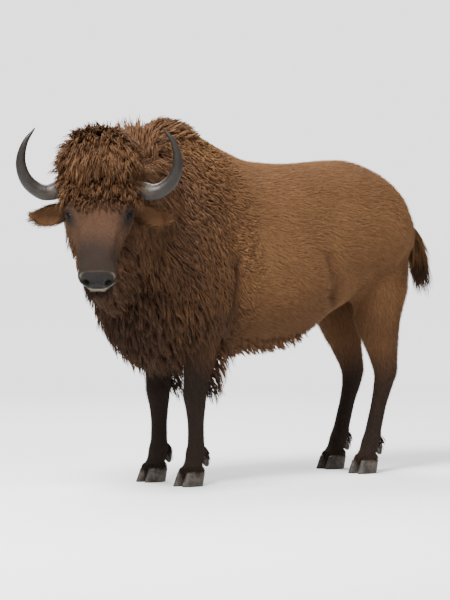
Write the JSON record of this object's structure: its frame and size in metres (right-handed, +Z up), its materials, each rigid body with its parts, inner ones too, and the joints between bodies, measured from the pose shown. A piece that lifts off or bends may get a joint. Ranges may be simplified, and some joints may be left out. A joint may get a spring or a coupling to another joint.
{
  "type": "wisent model",
  "caption": "Life-size still model of a wisent bull, standing on four cloven feet with its head turned to its left.",
  "frame": {"origin": "on the floor, under the middle of the model's box", "axes": "the body lies along X and faces -X, its left side is -Y, and +Z is up"},
  "size_m": [2.6966, 1.0204, 1.8101],
  "materials": {
    "coat": "short dense brown hair",
    "mane": "long shaggy brown hair",
    "dark_coat": "short dark brown hair",
    "horn": "black horn, ringed at the root",
    "hoof": "dull dark horn",
    "eye": "wet dark brown"
  },
  "bodies": {
    "root": {"barrel": "coat", "chest": "mane", "dewclaw_fore_left_inner": "hoof", "dewclaw_fore_left_outer": "hoof", "dewclaw_fore_right_inner": "hoof", "dewclaw_fore_right_outer": "hoof", "dewclaw_hind_left_inner": "hoof", "dewclaw_hind_left_outer": "hoof", "dewclaw_hind_right_inner": "hoof", "dewclaw_hind_right_outer": "hoof", "ear_left": "dark_coat", "ear_right": "dark_coat", "eye_left": "eye", "eye_right": "eye", "foreleg_lower_left": "dark_coat", "foreleg_lower_right": "dark_coat", "foreleg_upper_left": "dark_coat", "foreleg_upper_right": "dark_coat", "head": "mane", "hindleg_lower_left": "dark_coat", "hindleg_lower_right": "dark_coat", "hindleg_upper_left": "dark_coat", "hindleg_upper_right": "dark_coat", "hoof_fore_left_inner": "hoof", "hoof_fore_left_outer": "hoof", "hoof_fore_right_inner": "hoof", "hoof_fore_right_outer": "hoof", "hoof_hind_left_inner": "hoof", "hoof_hind_left_outer": "hoof", "hoof_hind_right_inner": "hoof", "hoof_hind_right_outer": "hoof", "horn_left": "horn", "horn_right": "horn", "neck": "mane", "rump": "coat", "tail_dock": "coat", "tail_tuft": "dark_coat"}
  },
  "joints": []
}
